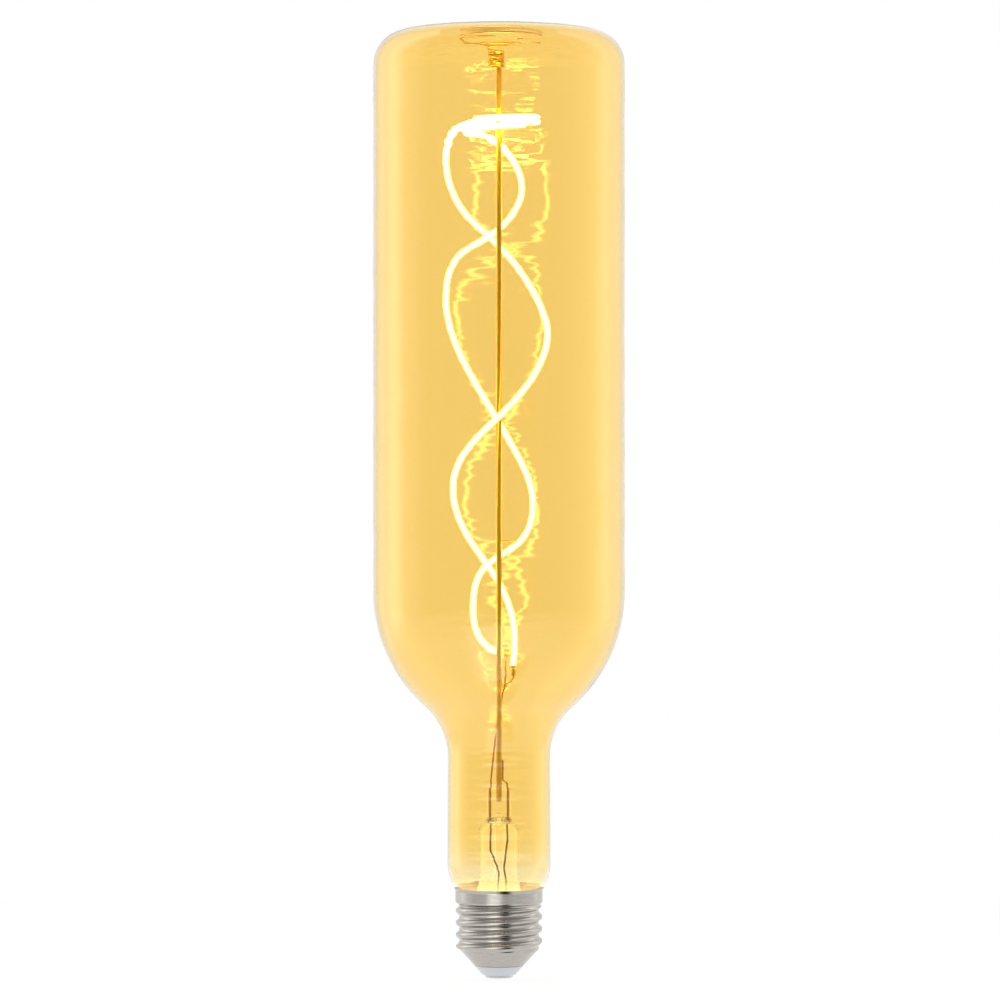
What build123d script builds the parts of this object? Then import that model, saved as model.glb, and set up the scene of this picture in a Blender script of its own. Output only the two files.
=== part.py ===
from build123d import *
import os
from math import asin, cos, degrees, radians, sin, sqrt, tan

# Light bulb with an amber bottle-shaped glass and a folded filament, on an E27 screw cap. Millimetres.
# It stands on its cap: Z runs up the axis from the underside of the centre contact, and -Y is the front.

# Glass envelope
overall_length = 286.0
bulb_diameter = 76.0
neck_diameter = 31.0
glass_wall = 0.9
crown_radius = 260.0
corner_radius = 10.0
shoulder_foot = 75.0
shoulder_angle = 47.0
shoulder_share = 2.044
nape_share = 0.889
tuck_angle = 38.0
tuck_radius = 12.0
seal_drop = 3.9

# Screw cap
cap_length = 27.0
lip_diameter = 27.3
lip_height = 0.9
collar_diameter = 26.3
collar_height = 3.4
collar_step = 0.9
thread_major_diameter = 26.1
thread_minor_diameter = 24.1
thread_pitch = 3.629
thread_turns = 4.7
thread_phase = -60.0
crest_width = 0.9
ridge_width = 2.9
skirt_top = 8.6
skirt_foot_diameter = 15.4
shell_wall = 0.3
rim_clearance = 0.35

# Insulator and centre contact
insulator_height = 3.8
insulator_foot_diameter = 10.0
neck_fit = 0.05
shell_opening_diameter = 13.6
flange_thickness = 1.2
contact_diameter = 8.4
contact_thickness = 0.8
contact_edge = 0.4
rivet_diameter = 3.0
rivet_fit = 0.05
rivet_head_diameter = 4.4
rivet_head_thickness = 0.5

# Stem
stem_diameter = 12.0
stem_wall = 1.1
flare_rise = 0.6
flare_bevel = 1.2
dome_height = 47.4
dome_bevel = 2.4
press_height = 57.4
press_width = 7.4
press_thickness = 3.8
press_round = 1.7
press_edge = 1.0
exhaust_diameter = 3.8
exhaust_bore = 2.2
exhaust_tip = 18.0
exhaust_seal = 1.6
port_height = 50.4
port_diameter = 1.6

# Rod, spring and wires
rod_diameter = 1.7
rod_foot = 53.0
rod_headroom = 8.0
spring_wire = 0.8
coil_turns = 5
coil_play = 1.05
coil_diameter = 4.2
cone_turns = 3
turn_steps = 12
seat_diameter = 27.0
filament_diameter = 1.9
winding_foot = 93.0
winding_radius = 16.0
fold_drop = 1.6
fold_radius = 1.9
fold_tilt = 18.0
turn_radius = 3.2
turn_tilt = 14.0
terminal_diameter = 1.3
terminal_length = 1.8
hook_wire = 0.6
hook_drop = 19.3
hook_reach = 7.5
support_wire = 0.5
lead_wire = 0.5
lead_spacing = 4.9
lead_weld = 6.0
lead_rise = 2.0
lead_bend = 4.0
wire_sides = 6
weld_gap = 0.02
feed_drop = 5.3

# Driver
board_width = 15.0
board_height = 11.0
board_thickness = 1.0
board_offset = 3.0
board_chamfer = 2.0
capacitor_diameter = 6.3
capacitor_length = 8.0
capacitor_place = 2.4
can_edge = 0.4
resistor_diameter = 2.4
resistor_length = 6.0
resistor_place = -5.4
resistor_lead = 0.6
chip_size = (4.9, 1.5, 3.9)
bridge_size = (4.7, 1.6, 3.9)
leg_size = (0.4, 0.3, 1.0)

# Sizes that follow from the ones above
shoulder_depth = (bulb_diameter - neck_diameter) / 2
shoulder_radius = shoulder_share * shoulder_depth
nape_radius = nape_share * shoulder_depth
collar_inner = collar_diameter / 2 - shell_wall
root_radius = thread_minor_diameter / 2
rod_radius = rod_diameter / 2
seal_height = cap_length - lip_height - seal_drop
tuck_slope = tan(radians(tuck_angle))
tuck_height = cap_length - lip_height + (neck_diameter / 2 - collar_inner + rim_clearance) / tuck_slope
seal_radius = neck_diameter / 2 - (tuck_height - seal_height) * tuck_slope
seal_bore = seal_radius - glass_wall / cos(radians(tuck_angle))
flange_top = insulator_height + shell_wall + flange_thickness
flange_radius = skirt_foot_diameter / 2 - shell_wall - neck_fit
rivet_bore = resistor_lead / 2 + rivet_fit
collar_foot = cap_length - lip_height - collar_height
rod_top = overall_length - rod_headroom
hook_height = rod_top - hook_drop
winding_height = hook_height - fold_drop - winding_foot
standing = (Align.CENTER, Align.CENTER, Align.MIN)


def wire(diameter, bend, *points):
    """Wire along a bent line."""
    path = FilletPolyline(*points, radius=bend) if len(points) > 2 else Line(*points)
    return sweep(Plane(path @ 0, z_dir=path % 0) * RegularPolygon(diameter / 2, wire_sides), path=path)


def turned(*outline):
    """Solid of revolution about Z from a closed outline of (radius, height) points."""
    return revolve(Plane.XZ * make_face(Polyline(*outline, close=True)), Axis.Z)


# Glass envelope: one section of crown, body, shoulder, neck and tuck, turned twice
def bottle(inset):
    """Solid bottle whose surface lies inset inside the outer glass."""
    body_radius = bulb_diameter / 2 - inset
    neck_radius = neck_diameter / 2 - inset
    top = overall_length - inset
    crown = crown_radius - inset
    crown_edge = top - crown + sqrt(crown**2 - body_radius**2)
    slope_shift = inset * tan(radians(shoulder_angle / 2))
    neck_top = shoulder_foot + slope_shift
    body_foot = neck_top + (body_radius - neck_radius) / tan(radians(shoulder_angle))
    neck_foot = tuck_height + inset * tan(radians(tuck_angle / 2))
    end_radius = neck_radius - (neck_foot - seal_height) * tuck_slope
    corners = [
        (body_radius, crown_edge),
        (body_radius, body_foot),
        (neck_radius, neck_top),
        (neck_radius, neck_foot),
    ]
    bends = [corner_radius - inset, shoulder_radius - inset, nape_radius + inset, tuck_radius - inset]
    with BuildSketch(Plane.XZ) as section:
        with BuildLine():
            CenterArc((0, top - crown), crown, 90, -degrees(asin(body_radius / crown)))
            Polyline(*corners, (end_radius, seal_height), (0, seal_height), (0, top))
        make_face()
        for corner, bend in zip(corners, bends):
            fillet(section.vertices().sort_by_distance((*corner, 0))[0], bend)
    return revolve(section.sketch, Axis.Z)


bottle_outside = bottle(0)
glass_envelope = bottle_outside - bottle(glass_wall)


# Screw shell: bent strip turned about the axis, with the thread as a helical ridge that runs out on the skirt
def screw_shell():
    """Thin shell with lip, collar, thread and skirt."""
    outline = [
        (shell_opening_diameter / 2, insulator_height),
        (skirt_foot_diameter / 2, insulator_height),
        (root_radius, skirt_top),
        (root_radius, collar_foot - collar_step),
        (collar_diameter / 2, collar_foot),
        (collar_diameter / 2, cap_length - lip_height),
        (lip_diameter / 2, cap_length),
    ]
    with BuildSketch(Plane.XZ) as strip:
        with BuildLine():
            offset(Polyline(*outline), amount=shell_wall, side=Side.LEFT, kind=Kind.INTERSECTION)
        make_face()
    wall = revolve(strip.sketch, Axis.Z)
    depth = (thread_major_diameter - thread_minor_diameter) / 2
    sink = shell_wall / 2
    helix = Helix(thread_pitch, thread_pitch * thread_turns, root_radius)
    path = Pos(0, 0, skirt_top - thread_pitch / 2) * helix
    tooth = Polyline(
        (-sink, -ridge_width / 2),
        (depth, -crest_width / 2),
        (depth, crest_width / 2),
        (-sink, ridge_width / 2),
        close=True,
    )
    start = Plane(path @ 0, x_dir=(1, 0, 0), z_dir=path % 0)
    ridge = Rot(0, 0, thread_phase) * sweep(start * make_face(tooth), path=path, is_frenet=True)
    reach = 2 * depth
    run_out = turned(
        (0, skirt_top),
        (root_radius - sink, skirt_top),
        (root_radius - sink + reach, skirt_top + reach),
        (root_radius - sink + reach, collar_foot + sink),
        (collar_diameter / 2, collar_foot + sink),
        (root_radius, collar_foot - collar_step + sink),
        (0, collar_foot - collar_step + sink),
    )
    return wall + (ridge & run_out)


cap_shell = screw_shell()

# Insulator: cone below the shell, waist through its opening and flange inside
waist = shell_opening_diameter / 2 - neck_fit
cap_insulator = turned(
    (rivet_diameter / 2, contact_thickness),
    (insulator_foot_diameter / 2, contact_thickness),
    (skirt_foot_diameter / 2, insulator_height),
    (waist, insulator_height),
    (waist, insulator_height + shell_wall),
    (flange_radius, insulator_height + shell_wall),
    (flange_radius, flange_top),
    (rivet_diameter / 2, flange_top),
)

# Centre contact: bevelled button with a hollow rivet closed over the insulator
centre_contact = turned(
    (0, 0),
    (contact_diameter / 2 - contact_edge, 0),
    (contact_diameter / 2, contact_edge),
    (contact_diameter / 2, contact_thickness),
    (rivet_diameter / 2, contact_thickness),
    (rivet_diameter / 2, flange_top),
    (rivet_head_diameter / 2, flange_top),
    (rivet_head_diameter / 2, flange_top + rivet_head_thickness),
    (rivet_bore, flange_top + rivet_head_thickness),
    (rivet_bore, contact_thickness),
    (0, contact_thickness),
)

# Cement ring between the tucked neck and the collar
cement_foot = collar_foot + collar_step
basing_cement = turned(
    (seal_radius, cement_foot),
    (collar_inner, cement_foot),
    (collar_inner, cap_length - lip_height),
    (seal_radius, cap_length - lip_height),
) - bottle_outside

# Rod, sealed in the press at its foot
support_rod = Pos(0, 0, rod_foot) * Cylinder(rod_radius, rod_top - rod_foot, align=standing)

# Spring: close coil round the rod's end, then a cone of widening turns that seats under the glass top
coil_radius = coil_diameter / 2
coil_axis = coil_radius - spring_wire / 2 - rod_radius - weld_gap
coil_pitch = spring_wire * coil_play
coil_foot = rod_top - coil_turns * coil_pitch
crown_inside = crown_radius - glass_wall
crown_drop = crown_inside - sqrt(crown_inside**2 - (seat_diameter / 2 + coil_axis) ** 2)
seat_height = overall_length - glass_wall - crown_drop - spring_wire / 2 - weld_gap


def spring_point(turn):
    """Point of the spring's wire after a number of turns."""
    opened = max(0.0, (turn - coil_turns) / cone_turns)
    radius = coil_radius + (seat_diameter / 2 - coil_radius) * opened**1.7
    height = coil_foot + min(turn, coil_turns) * coil_pitch + (seat_height - rod_top) * opened**0.8
    angle = radians(360 * turn)
    return (radius * cos(angle) - coil_axis, radius * sin(angle), height)


spring_steps = turn_steps * (coil_turns + cone_turns)
spring_points = [spring_point(step / turn_steps) for step in range(spring_steps + 1)]
spring_path = Polyline(*spring_points)
spring_start = Plane(spring_path @ 0, x_dir=(1, 0, 0), z_dir=spring_path % 0)
spring_section = spring_start * RegularPolygon(spring_wire / 2, wire_sides)
top_spring = sweep(spring_section, path=spring_path, transition=Transition.RIGHT)

# Filament: feed strand up round the rod, fold at the top, turn to the back, return strand down behind it
def wound(across, deep, up):
    """Point of the winding, in shares of its radius to the right and to the back, and of its height."""
    return Vector(across * winding_radius, deep * winding_radius, winding_foot + up * winding_height)


feed_strand = [
    wound(0.269, 0.050, 0.000),
    wound(0.294, 0.125, 0.055),
    wound(-0.056, 0.406, 0.165),
    wound(-0.600, 0.312, 0.242),
    wound(-0.863, 0.000, 0.335),
    wound(-0.688, -0.281, 0.387),
    wound(0.019, -0.438, 0.462),
    wound(0.625, -0.312, 0.531),
    wound(0.912, 0.000, 0.612),
    wound(0.731, 0.344, 0.675),
    wound(-0.037, 0.512, 0.780),
    wound(-0.675, 0.425, 0.840),
    wound(-0.994, 0.156, 0.923),
    wound(-0.838, -0.163, 0.981),
    wound(-0.375, -0.362, 1.001),
    wound(0.188, -0.394, 1.004),
]
return_strand = [
    wound(0.037, 0.287, 0.958),
    wound(0.431, 0.225, 0.877),
    wound(-0.188, 0.212, 0.792),
    wound(-0.787, 0.113, 0.752),
    wound(-0.988, 0.037, 0.699),
    wound(-0.412, 0.250, 0.517),
    wound(0.350, 0.281, 0.390),
    wound(0.637, 0.150, 0.308),
    wound(0.412, 0.150, 0.233),
    wound(-0.287, 0.138, 0.182),
    wound(-0.487, 0.050, 0.116),
    wound(-0.325, 0.100, 0.050),
    wound(0.075, 0.225, 0.028),
]
fold_centre = wound(0.600, -0.281, 1.000)
turn_centre = wound(-0.438, 0.050, 0.985)
along = Vector(1, 0, 0)
feed_direction = Vector(0, 0, 1)
return_direction = Vector(0.98, 0.2, 0)
fold_across = Vector(0, cos(radians(fold_tilt)), -sin(radians(fold_tilt))) * fold_radius
turn_across = Vector(0, cos(radians(turn_tilt)), -sin(radians(turn_tilt))) * turn_radius
fold_start = fold_centre - fold_across
fold_end = fold_centre + fold_across
turn_start = turn_centre - turn_across
turn_end = turn_centre + turn_across
eased = (0.5, 0.5)
filament_path = Wire(
    [
        Spline(*feed_strand, fold_start, tangents=(feed_direction, along), tangent_scalars=eased),
        ThreePointArc(fold_start, fold_centre + along * fold_radius, fold_end),
        Spline(fold_end, turn_start, tangents=(-along, -along)),
        ThreePointArc(turn_start, turn_centre - along * turn_radius, turn_end),
        Spline(turn_end, *return_strand, tangents=(along, return_direction), tangent_scalars=eased),
    ]
)
filament_start = Plane(filament_path @ 0, z_dir=filament_path % 0)
led_filament = sweep(filament_start * RegularPolygon(filament_diameter / 2, wire_sides), path=filament_path)


def terminal(place, direction):
    """Metal end sleeve standing on a filament end."""
    seat = Plane(place, z_dir=direction).location
    return seat * Cylinder(terminal_diameter / 2, terminal_length, align=standing)


feed_end = feed_strand[0]
return_end = return_strand[-1]
filament_terminal_feed = terminal(feed_end, -feed_direction)
filament_terminal_return = terminal(return_end, return_direction)

# Wires welded to the rod
hook_depth = rod_radius + hook_wire / 2 + weld_gap
fold_hook = wire(
    hook_wire,
    1.2 * hook_wire,
    (-hook_reach, -hook_depth, hook_height),
    (fold_centre.X, -hook_depth, hook_height),
    (fold_centre.X, fold_centre.Y, hook_height),
    (fold_centre.X, fold_centre.Y, fold_centre.Z - fold_radius),
)
side_target = return_strand[8]
side_height = side_target.Z
side_reach = filament_diameter / 2 + support_wire
side_end = side_target - Vector(side_target.X, side_target.Y, 0).normalized() * side_reach
side_support = wire(support_wire, support_wire, (0, 0, side_height), tuple(side_end)) - support_rod
feed_tail = feed_end - Vector(0, 0, terminal_length)
link_wire = wire(
    support_wire,
    1.2,
    tuple(feed_tail),
    (feed_tail.X, feed_tail.Y, feed_tail.Z - 1.5),
    (0, 0, winding_foot - feed_drop),
) - support_rod

# Leads through the press: the feed is welded beside the rod, the return runs up behind it
lead_place = lead_spacing / 2
press_foot = dome_height - stem_wall
lead_joint = (press_height + dome_height) / 2
rod_side = rod_radius + lead_wire / 2 + weld_gap
return_tail = return_end + return_direction * terminal_length / 2 - Vector(0, 0, terminal_diameter / 2)
lead_knee = press_height + lead_rise
return_lead = wire(
    lead_wire,
    lead_bend,
    (-lead_place, 0, lead_joint),
    (-lead_place, 0, lead_knee),
    (-rod_side, 2 * rod_side, (2 * lead_knee + return_tail.Z) / 3),
    (return_tail.X, return_tail.Y, return_tail.Z - lead_weld),
    tuple(return_tail),
)

# Driver board standing on the insulator's flange inside the cap
board_top = flange_top + board_height
with BuildSketch(Plane.XZ.offset(-board_offset)) as board_outline:
    with Locations((0, flange_top + board_height / 2)):
        Rectangle(board_width, board_height)
    chamfer(board_outline.vertices().group_by(Axis.Y)[0], board_chamfer)
driver_board = extrude(board_outline.sketch, -board_thickness)

pad_depth = board_offset - lead_wire / 2
pad_height = board_top - 2.5
feed_pad = board_width / 2 - 1.2
return_pad = -2.4
lead_room = exhaust_diameter / 2 + lead_wire + 0.5


def in_flare(across, up):
    """Point of a lead in front of the exhaust tube, in shares of the leads' place and of the flare's height."""
    return (across * lead_place, -lead_room, seal_height + up * (press_foot - seal_height))


feed_outer_lead = wire(
    lead_wire,
    0.6,
    (rod_side, 0, lead_knee + lead_weld),
    (rod_side, 0, lead_knee),
    (lead_place, 0, press_height + 0.8),
    (lead_place, 0, press_foot - 0.8),
    in_flare(1.00, 0.82),
    in_flare(0.58, 0.45),
    in_flare(0.83, 0.30),
    in_flare(0.83, 0.00),
    (feed_pad, pad_depth, board_top + 1.0),
    (feed_pad, pad_depth, pad_height),
)
return_outer_lead = wire(
    lead_wire,
    0.6,
    (-lead_place, 0, lead_joint),
    (-lead_place, 0, press_foot - 0.8),
    in_flare(-1.00, 0.84),
    in_flare(-1.00, 0.68),
    in_flare(0.00, 0.40),
    in_flare(-0.25, 0.00),
    (return_pad, pad_depth, board_top + 1.0),
    (return_pad, pad_depth, pad_height),
)

# Board parts
part_height = flange_top + board_height / 2
capacitor_axis = board_offset - capacitor_diameter / 2
capacitor_can = Cylinder(capacitor_diameter / 2, capacitor_length)
capacitor = Pos(capacitor_place, capacitor_axis, part_height) * capacitor_can
smoothing_capacitor = chamfer(capacitor.edges().filter_by(GeomType.CIRCLE), can_edge)

resistor_axis = board_offset - resistor_diameter / 2
resistor_lead_height = flange_top + rivet_head_thickness + resistor_lead
resistor_top = part_height + resistor_length / 2
resistor_can = Cylinder(resistor_diameter / 2, resistor_length)
resistor_body = Pos(resistor_place, resistor_axis, part_height) * resistor_can
resistor_line = wire(
    resistor_lead,
    0.7,
    (0, 0, insulator_height),
    (0, 0, resistor_lead_height),
    (resistor_place, resistor_axis, resistor_lead_height),
    (resistor_place, resistor_axis, resistor_top + 1.2),
    (resistor_place, board_offset, resistor_top + 1.2),
)
fuse_resistor = chamfer(resistor_body.edges().filter_by(GeomType.CIRCLE), can_edge) + resistor_line


def chip(size, place, legs_a_side):
    """Flat package on the board's back, with legs along its top and bottom edges."""
    body_width, body_depth, body_height = size
    leg_width, leg_thickness, leg_length = leg_size
    face = board_offset + board_thickness
    package = Pos(place, face + leg_thickness + body_depth / 2, part_height) * Box(*size)
    for side in (-1, 1):
        for leg in range(legs_a_side):
            across = (leg - (legs_a_side - 1) / 2) * body_width / legs_a_side
            up = side * body_height / 2
            package += Pos(place + across, face + leg_thickness / 2, part_height + up) * Box(
                leg_width, leg_thickness, 2 * leg_length
            )
    return package


bridge_rectifier = chip(bridge_size, -3.4, 2)
driver_chip = chip(chip_size, 3.4, 4)

# Wire from the board's back to the inside of the shell
shell_inside = root_radius - shell_wall - lead_wire / 2
board_back = board_offset + board_thickness + lead_wire / 2
wire_x = board_width / 2 - 1.0
shell_wire = wire(
    lead_wire,
    0.6,
    (-wire_x, board_back, part_height),
    (-wire_x, board_back, board_top),
    (-wire_x, sqrt(shell_inside**2 - wire_x**2), board_top),
    (-wire_x, sqrt(shell_inside**2 - wire_x**2), board_top - 3.0),
)

# Stem: flare and dome turned about the axis, press, exhaust tube and the seals round the wires
tube_radius = stem_diameter / 2
flare_top = cap_length + flare_rise
flare_slope = (seal_bore - tube_radius) / (flare_top - seal_height)
underside = stem_wall * (sqrt(1 + flare_slope**2) - 1) / flare_slope
bore_radius = tube_radius - stem_wall
bore_flare = flare_top - underside
foot_height = seal_height - stem_wall
dome_edge = (tube_radius, dome_height)
flare_edge = (tube_radius, flare_top)
bore_bevel = dome_bevel - stem_wall * (2 - sqrt(2))
with BuildSketch(Plane.XZ) as flare_section:
    with BuildLine():
        Polyline(
            (0, dome_height),
            dome_edge,
            flare_edge,
            (seal_bore, seal_height),
            (seal_radius, seal_height),
            (seal_radius, foot_height),
            (bore_radius + (bore_flare - foot_height) * flare_slope, foot_height),
            (bore_radius, bore_flare),
            (bore_radius, press_foot - bore_bevel),
            (bore_radius - bore_bevel, press_foot),
            (0, press_foot),
            close=True,
        )
    make_face()
    chamfer(flare_section.vertices().sort_by_distance((*dome_edge, 0))[0], dome_bevel)
    chamfer(flare_section.vertices().sort_by_distance((*flare_edge, 0))[0], flare_bevel)
flare = revolve(flare_section.sketch, Axis.Z)
press = Pos(0, 0, press_foot) * extrude(
    RectangleRounded(press_width, press_thickness, press_round), press_height - press_foot
)
press = chamfer(press.edges().group_by(Axis.Z)[-1], press_edge)
exhaust_length = press_foot + stem_wall / 2 - exhaust_tip
exhaust = Pos(0, 0, exhaust_tip) * Cylinder(exhaust_diameter / 2, exhaust_length, align=standing)
exhaust = chamfer(exhaust.edges().group_by(Axis.Z)[0], exhaust_diameter / 4)
bore_foot = exhaust_tip + exhaust_seal
bore = Pos(0, 0, bore_foot) * Cylinder(exhaust_bore / 2, port_height - bore_foot, align=standing)
port = Pos(0, 0, port_height) * Rot(90, 0, 0) * Cylinder(port_diameter / 2, 2 * press_thickness)
glass_stem = flare + press + exhaust - bore - port
for sealed in (support_rod, feed_outer_lead, return_outer_lead, return_lead):
    glass_stem -= sealed

nodes = {
    "glass_envelope": glass_envelope,
    "glass_stem": glass_stem,
    "support_rod": support_rod,
    "top_spring": top_spring,
    "led_filament": led_filament,
    "filament_terminal_feed": filament_terminal_feed,
    "filament_terminal_return": filament_terminal_return,
    "fold_hook": fold_hook,
    "side_support": side_support,
    "link_wire": link_wire,
    "return_lead": return_lead,
    "feed_outer_lead": feed_outer_lead,
    "return_outer_lead": return_outer_lead,
    "cap_shell": cap_shell,
    "cap_insulator": cap_insulator,
    "centre_contact": centre_contact,
    "basing_cement": basing_cement,
    "driver_board": driver_board,
    "bridge_rectifier": bridge_rectifier,
    "driver_chip": driver_chip,
    "smoothing_capacitor": smoothing_capacitor,
    "fuse_resistor": fuse_resistor,
    "shell_wire": shell_wire,
}
os.makedirs("parts", exist_ok=True)
for name, shape in nodes.items():
    export_step(shape, f"parts/{name}.step")
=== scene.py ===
"""Amber bottle-shaped filament lamp on an E27 screw cap, dressed over its CAD frame."""

import logging
import math
from collections.abc import Sequence
from dataclasses import dataclass, field
from enum import Enum

import bmesh
import bpy
import numpy as np
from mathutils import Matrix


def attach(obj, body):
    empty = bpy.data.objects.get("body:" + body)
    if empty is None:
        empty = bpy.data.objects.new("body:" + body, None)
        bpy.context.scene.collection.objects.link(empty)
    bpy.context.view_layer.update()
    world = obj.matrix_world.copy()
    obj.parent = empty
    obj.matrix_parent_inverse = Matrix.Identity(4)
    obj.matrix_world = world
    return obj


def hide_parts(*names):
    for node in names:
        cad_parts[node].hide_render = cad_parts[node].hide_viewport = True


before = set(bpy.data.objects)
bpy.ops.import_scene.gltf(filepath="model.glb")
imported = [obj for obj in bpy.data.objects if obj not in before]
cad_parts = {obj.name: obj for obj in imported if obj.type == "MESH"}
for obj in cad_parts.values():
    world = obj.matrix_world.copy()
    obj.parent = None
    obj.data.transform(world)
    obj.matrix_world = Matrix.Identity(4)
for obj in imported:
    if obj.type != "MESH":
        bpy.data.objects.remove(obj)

Tree = bpy.types.NodeTree
Node = bpy.types.Node
Socket = bpy.types.NodeSocket
Object = bpy.types.Object
Material = bpy.types.Material
Points = Sequence[Sequence[float]]
Span = tuple[float, float]

log = logging.getLogger("lamp")
MM = 0.001
WELD = 1e-7
MERGE = 1e-6
WHITE = (1.0, 1.0, 1.0, 1.0)
# Most of a noise lies between these values
NOISE_SPAN = (0.3, 0.7)
# Part of the half pitch in which a rolled crest falls to its root
CREST_SPAN = (0.08, 0.92)
# Half angle in degrees above which a corner counts as straight
STRAIGHT = 89.5
# Spacing of the points on a smooth curve, in millimetres
RUN_STEP = 0.5
# Glass faces between the eye and what lies behind the envelope
WALL_FACES = 4
ROOT = "root"
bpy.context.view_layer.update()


class Slot(Enum):
    """Material slots of the record. No piece here takes them."""

    AMBER_GLASS = "amber_glass"
    CLEAR_GLASS = "clear_glass"
    FILAMENT = "filament_silicone"
    WIRE = "wire_metal"
    LEAD = "lead_metal"
    CAP = "cap_metal"
    CONTACT = "contact_metal"
    INSULATOR = "insulator"


def linear(code: str) -> tuple[float, float, float, float]:
    """Turn an sRGB hex value into linear colour.

    Args:
        code: Six hex digits after a hash sign.

    Returns:
        Red, green and blue in linear light, and an alpha of one.
    """
    parts = [int(code[i : i + 2], 16) / 255 for i in (1, 3, 5)]
    red, green, blue = [c / 12.92 if c <= 0.04045 else ((c + 0.055) / 1.055) ** 2.4 for c in parts]
    return red, green, blue, 1.0


def add_node(tree: Tree, kind: str, inputs: dict | None = None, **settings: object) -> Node:
    """Add one node with its settings and its links.

    Args:
        tree: Tree that takes the node.
        kind: Blender's name of the node type.
        inputs: Input name or number to a socket to link, or to a value to set.
        settings: Properties of the node itself.

    Returns:
        The new node.
    """
    node = tree.nodes.new(kind)
    for key, value in settings.items():
        setattr(node, key, value)
    for key, value in (inputs or {}).items():
        if isinstance(value, Socket):
            tree.links.new(value, node.inputs[key])
        else:
            node.inputs[key].default_value = value
    return node


def calc(tree: Tree, operation: str, *values: Socket | float) -> Socket:
    """Add one sum.

    Args:
        tree: Tree that takes it.
        operation: Blender's name of the sum.
        values: Its terms in order.

    Returns:
        The socket with the result.
    """
    return add_node(tree, "ShaderNodeMath", dict(enumerate(values)), operation=operation).outputs[0]


def ramp(
    tree: Tree,
    value: Socket,
    limits: tuple[Socket | float, Socket | float],
    ends: Span = (0.0, 1.0),
    shape: str = "SMOOTHSTEP",
) -> Socket:
    """Run from one number to another while a value goes from limit to limit.

    Args:
        tree: Tree that takes the node.
        value: Value that is followed.
        limits: Where the run starts and stops.
        ends: Results at the limits.
        shape: Blender's name of the way between them.

    Returns:
        The socket with the result.
    """
    spans = {"From Min": limits[0], "From Max": limits[1], "To Min": ends[0], "To Max": ends[1]}
    inputs = {"Value": value, **spans}
    return add_node(tree, "ShaderNodeMapRange", inputs, interpolation_type=shape).outputs[0]


def height_run(tree: Tree, limits_mm: Span, ends: Span = (0.0, 1.0), shape: str = "SMOOTHSTEP") -> Socket:
    """Run from one number to another between two heights.

    Args:
        tree: Material's node tree.
        limits_mm: Heights where the run starts and stops.
        ends: Results at these heights.
        shape: Blender's name of the way between them.

    Returns:
        The socket with the result.
    """
    place = add_node(tree, "ShaderNodeTexCoord").outputs["Object"]
    height = add_node(tree, "ShaderNodeSeparateXYZ", {0: place}).outputs[2]
    return ramp(tree, height, (limits_mm[0] * MM, limits_mm[1] * MM), ends, shape)


def grain(tree: Tree, size_mm: tuple[float, float, float], detail: float) -> Socket:
    """Noise with grains of a given size.

    Args:
        tree: Material's node tree.
        size_mm: Size of a grain along each axis.
        detail: Number of finer layers on top.

    Returns:
        The socket with the noise.
    """
    place = add_node(tree, "ShaderNodeTexCoord").outputs["Object"]
    scale = tuple(1 / (size * MM) for size in size_mm)
    laid = add_node(tree, "ShaderNodeMapping", {"Vector": place, "Scale": scale}).outputs[0]
    return add_node(tree, "ShaderNodeTexNoise", {"Vector": laid, "Scale": 1.0, "Detail": detail}).outputs[0]


def blend(tree: Tree, share: Socket, first: str, last: str) -> Socket:
    """Mix two colours.

    Args:
        tree: Tree that takes the node.
        share: Share of the last colour.
        first: Hex value at nought.
        last: Hex value at one.

    Returns:
        The socket with the colour.
    """
    sides = {"Factor": share, "A": linear(first), "B": linear(last)}
    return add_node(tree, "ShaderNodeMix", sides, data_type="RGBA").outputs["Result"]


def shine(tree: Tree, strength: float, colour: Socket | tuple[float, ...] = WHITE) -> Socket:
    """Add a plain light.

    Args:
        tree: Tree that takes the node.
        strength: Strength of the light.
        colour: Its colour.

    Returns:
        The shader's socket.
    """
    return add_node(tree, "ShaderNodeEmission", {"Color": colour, "Strength": strength}).outputs[0]


def mixed(tree: Tree, share: Socket, first: Socket, last: Socket) -> Socket:
    """Mix two shaders.

    Args:
        tree: Tree that takes the node.
        share: Share of the last shader.
        first: Shader at nought.
        last: Shader at one.

    Returns:
        The mixed shader's socket.
    """
    return add_node(tree, "ShaderNodeMixShader", {0: share, 1: first, 2: last}).outputs[0]


@dataclass(frozen=True)
class Finish:
    """A plain surface: one colour and one gloss all over."""

    name: str
    colour: str
    roughness: float
    metallic: float = 0.0
    ior: float = 1.5
    transmission: float = 0.0
    glow: str = "#000000"
    glow_strength: float = 0.0

    def material(self) -> Material:
        """Make the material once, and hand out the same one after that.

        Returns:
            The material with its shader set up.
        """
        made = bpy.data.materials.get(self.name)
        if made:
            return made
        made = bpy.data.materials.new(self.name)
        made.use_nodes = True
        tree = made.node_tree
        shader = tree.nodes["Principled BSDF"]
        shader.inputs["Base Color"].default_value = linear(self.colour)
        shader.inputs["Roughness"].default_value = self.roughness
        shader.inputs["Metallic"].default_value = self.metallic
        shader.inputs["IOR"].default_value = self.ior
        shader.inputs["Transmission Weight"].default_value = self.transmission
        shader.inputs["Emission Color"].default_value = linear(self.glow)
        shader.inputs["Emission Strength"].default_value = self.glow_strength
        self.pattern(tree, shader)
        return made

    def pattern(self, tree: Tree, shader: Node) -> None:
        """A plain finish has no pattern.

        Args:
            tree: Material's node tree.
            shader: Its main shader node.
        """


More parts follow.
